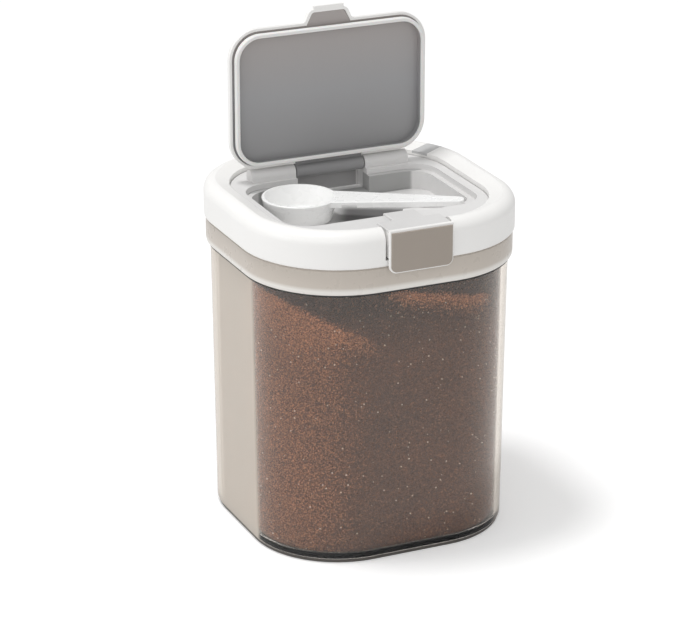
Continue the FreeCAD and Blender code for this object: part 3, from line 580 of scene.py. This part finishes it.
def scatter_tree(name):
    tree = bpy.data.node_groups.new(name, "GeometryNodeTree")
    for label, kind in SCATTER_INPUTS.items():
        tree.interface.new_socket(label, in_out="INPUT", socket_type=kind)
    tree.interface.new_socket("Granules", in_out="OUTPUT", socket_type="NodeSocketGeometry")
    given = join(tree, "NodeGroupInput").outputs
    spots = join(tree, "GeometryNodeDistributePointsOnFaces", {
        "Mesh": given["Surface"], "Density": given["Density"], "Seed": given["Seed"]})
    stone = join(tree, "GeometryNodeMeshIcoSphere", {"Radius": 1.0, "Subdivisions": 1})
    turn = join(tree, "FunctionNodeRandomValue", {"Max": FULL_TURNS, "Seed": given["Seed"]},
                data_type="FLOAT_VECTOR")
    size = join(tree, "FunctionNodeRandomValue", {
        FLOAT_MIN: given["Smallest"], FLOAT_MAX: given["Largest"], "Seed": given["Seed"]}, data_type="FLOAT")
    laid = join(tree, "GeometryNodeInstanceOnPoints", {
        "Points": spots.outputs["Points"], "Instance": stone.outputs["Mesh"],
        "Rotation": turn.outputs[VECTOR_VALUE], "Scale": size.outputs[FLOAT_VALUE]})
    real = join(tree, "GeometryNodeRealizeInstances", {"Geometry": laid.outputs["Instances"]})
    finish = join(tree, "GeometryNodeSetMaterial", {
        "Geometry": real.outputs["Geometry"], "Material": given["Finish"]})
    join(tree, "NodeGroupOutput", {"Granules": finish.outputs["Geometry"]})
    return tree


scatter = scatter_tree("scatter_granules")
print("scatter nodes:", len(scatter.nodes))

# %% [markdown]
# The tree runs twice, for many fine dark granules and for fewer pale ones that catch the light. Each
# result is kept as a plain mesh, and no granule is larger than the air between the fill and the wall.

# %% Loose granules
STONE_FACES = 20
PALE_DARK, PALE_LIGHT = srgb(206, 184, 164), srgb(250, 240, 228)


def strew(name, surface, density, smallest, largest, seed, finish):
    """Scatters loose granules over a mesh and keeps them as a mesh of their own."""
    carrier = add_object(name, surface.data.copy())
    modifier = carrier.modifiers.new("scatter", "NODES")
    modifier.node_group = scatter
    values = {"Density": density, "Smallest": smallest, "Largest": largest, "Seed": seed, "Finish": finish}
    for item in scatter.interface.items_tree:
        if item.in_out == "INPUT" and item.name in values:
            modifier[item.identifier] = values[item.name]
    bpy.context.view_layer.update()
    graph = bpy.context.evaluated_depsgraph_get()
    mesh = bpy.data.meshes.new_from_object(carrier.evaluated_get(graph))
    carrier.modifiers.remove(modifier)
    carrier.data = mesh
    mesh.name = name
    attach(carrier, "tub")
    print(name, len(mesh.polygons) // STONE_FACES)


pale_ground = granules("granules_pale", PALE_DARK, PALE_LIGHT, PALE_DARK, PALE_LIGHT)
strew("granules_dark", fill, density=40000.0, smallest=0.00012, largest=0.0003, seed=3, finish=ground)
strew("granules_pale", fill, density=15000.0, smallest=0.0002, largest=0.00045, seed=8, finish=pale_ground)

# %% [markdown]
# The latch's spring is wound from round wire. The solid is a plain sleeve with two legs, good enough
# for clearances; the real coil is a helix with a straight leg at each end, which a curve with a round
# bevel gives.

# %% Latch spring
WIRE = 0.00035
WIRE_ROUNDING = 2
COIL_TURNS, COIL_STEPS = 7.5, 16


def coil_points():
    """The middle of the wire, from the end of one leg to the end of the other."""
    low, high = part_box("latch_spring")
    pin_low, pin_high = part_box("latch_pin")
    axis_y = (pin_low.y + pin_high.y) / 2
    axis_z = (pin_low.z + pin_high.z) / 2
    radius = (high.z - low.z) / 2 - WIRE
    total = int(COIL_TURNS * COIL_STEPS)
    start, end = low.x + WIRE, high.x - WIRE
    points = [(start, low.y + WIRE, axis_z - radius)]
    for step in range(total + 1):
        angle = -math.pi / 2 - 2 * math.pi * step / COIL_STEPS
        across = start + (end - start) * step / total
        points.append((across, axis_y + radius * math.cos(angle), axis_z + radius * math.sin(angle)))
    points.append((end, high.y - WIRE, axis_z + radius))
    return points


def wind_spring(name):
    curve = bpy.data.curves.new("spring_path", "CURVE")
    curve.dimensions = "3D"
    curve.bevel_depth = WIRE
    curve.bevel_resolution = WIRE_ROUNDING
    curve.use_fill_caps = True
    points = coil_points()
    spline = curve.splines.new("POLY")
    spline.points.add(len(points) - 1)
    for spot, point in zip(spline.points, points):
        spot.co = (*point, 1.0)
    carrier = add_object("spring_path", curve)
    mesh = bpy.data.meshes.new_from_object(carrier)
    bpy.data.objects.remove(carrier)
    mesh.materials.append(steel)
    return add_object(name, mesh)


spring = wind_spring("latch_spring_coil")
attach(spring, "lid")
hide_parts("latch_spring")
print("spring faces:", len(spring.data.polygons))

# %% [markdown]
# The canister stands on a white table. The floor takes the shadow as any white surface does, and a
# small glow that only the camera and clear plastic see lifts it to paper white.

# %% Floor
FLOOR_HALF = 6.0
PAPER_DARK, PAPER_LIGHT = (0.88, 0.88, 0.88, 1.0), (0.90, 0.90, 0.90, 1.0)
PAPER_SCALE, PAPER_DETAIL = 3.0, 2.0
PAPER_GLOW = 0.25
PLAIN_WHITE = (1.0, 1.0, 1.0, 1.0)


def seen_directly(tree):
    """1 for what the camera sees, also through clear plastic, and 0 for light that falls on things."""
    ray = join(tree, "ShaderNodeLightPath").outputs
    return calculate(tree, "MAXIMUM", ray["Is Camera Ray"], ray["Is Transmission Ray"])


def paper_white(name):
    material, tree, shader = start_material(name, Roughness=0.9, Emission_Color=PLAIN_WHITE)
    fibres = noise(tree, object_place(tree), PAPER_SCALE, PAPER_DETAIL)
    paper = blend_tones(tree, fibres, (0.0, PAPER_DARK), (1.0, PAPER_LIGHT))
    tree.links.new(paper, shader.inputs["Base Color"])
    glow = calculate(tree, "MULTIPLY", seen_directly(tree), PAPER_GLOW)
    tree.links.new(glow, shader.inputs["Emission Strength"])
    return material


floor_mesh = bpy.data.meshes.new("floor")
corners = [(FLOOR_HALF * x, FLOOR_HALF * y, 0) for x, y in ((-1, -1), (1, -1), (1, 1), (-1, 1))]
floor_mesh.from_pydata(corners, [], [(0, 1, 2, 3)])
floor = add_object("floor", floor_mesh)
floor.data.materials.append(paper_white("floor_white"))
print("floor side:", 2 * FLOOR_HALF)

# %% [markdown]
# One soft lamp stands high on the left and a little behind, so the left sides are bright and a short
# shadow falls to the right. Weak broad lamps light the left side and the front, and the sky fills the
# rest evenly. The camera sees the sky as plain white.

# %% Light
SKY_LIGHT, SKY_SEEN = 0.6, 1.0


def add_area(name, place, target, size, power):
    lamp = bpy.data.lights.new(name, "AREA")
    lamp.shape = "DISK"
    lamp.size = size
    lamp.energy = power
    point_at(add_object(name, lamp), place, target)


def light_sky(name):
    world = bpy.data.worlds.new(name)
    world.use_nodes = True
    sky = world.node_tree
    sky.nodes.clear()
    level = span(sky, seen_directly(sky), 0.0, 1.0, SKY_LIGHT, SKY_SEEN)
    back = join(sky, "ShaderNodeBackground", {"Color": PLAIN_WHITE, "Strength": level})
    join(sky, "ShaderNodeOutputWorld", {"Surface": back.outputs["Background"]})
    return world


add_area("key", (-0.43, 0.13, 1.88), (0.0, 0.0, 0.08), size=0.42, power=15.0)
add_area("side", (-1.70, -0.10, 0.55), (0.0, 0.0, 0.10), size=0.9, power=3.6)
add_area("front", (-0.70, -1.60, 1.00), (0.0, 0.0, 0.12), size=1.0, power=3.4)
bpy.context.scene.world = light_sky("studio")
bpy.context.scene.view_settings.view_transform = "Standard"
print("lamps:", len(bpy.data.lights))
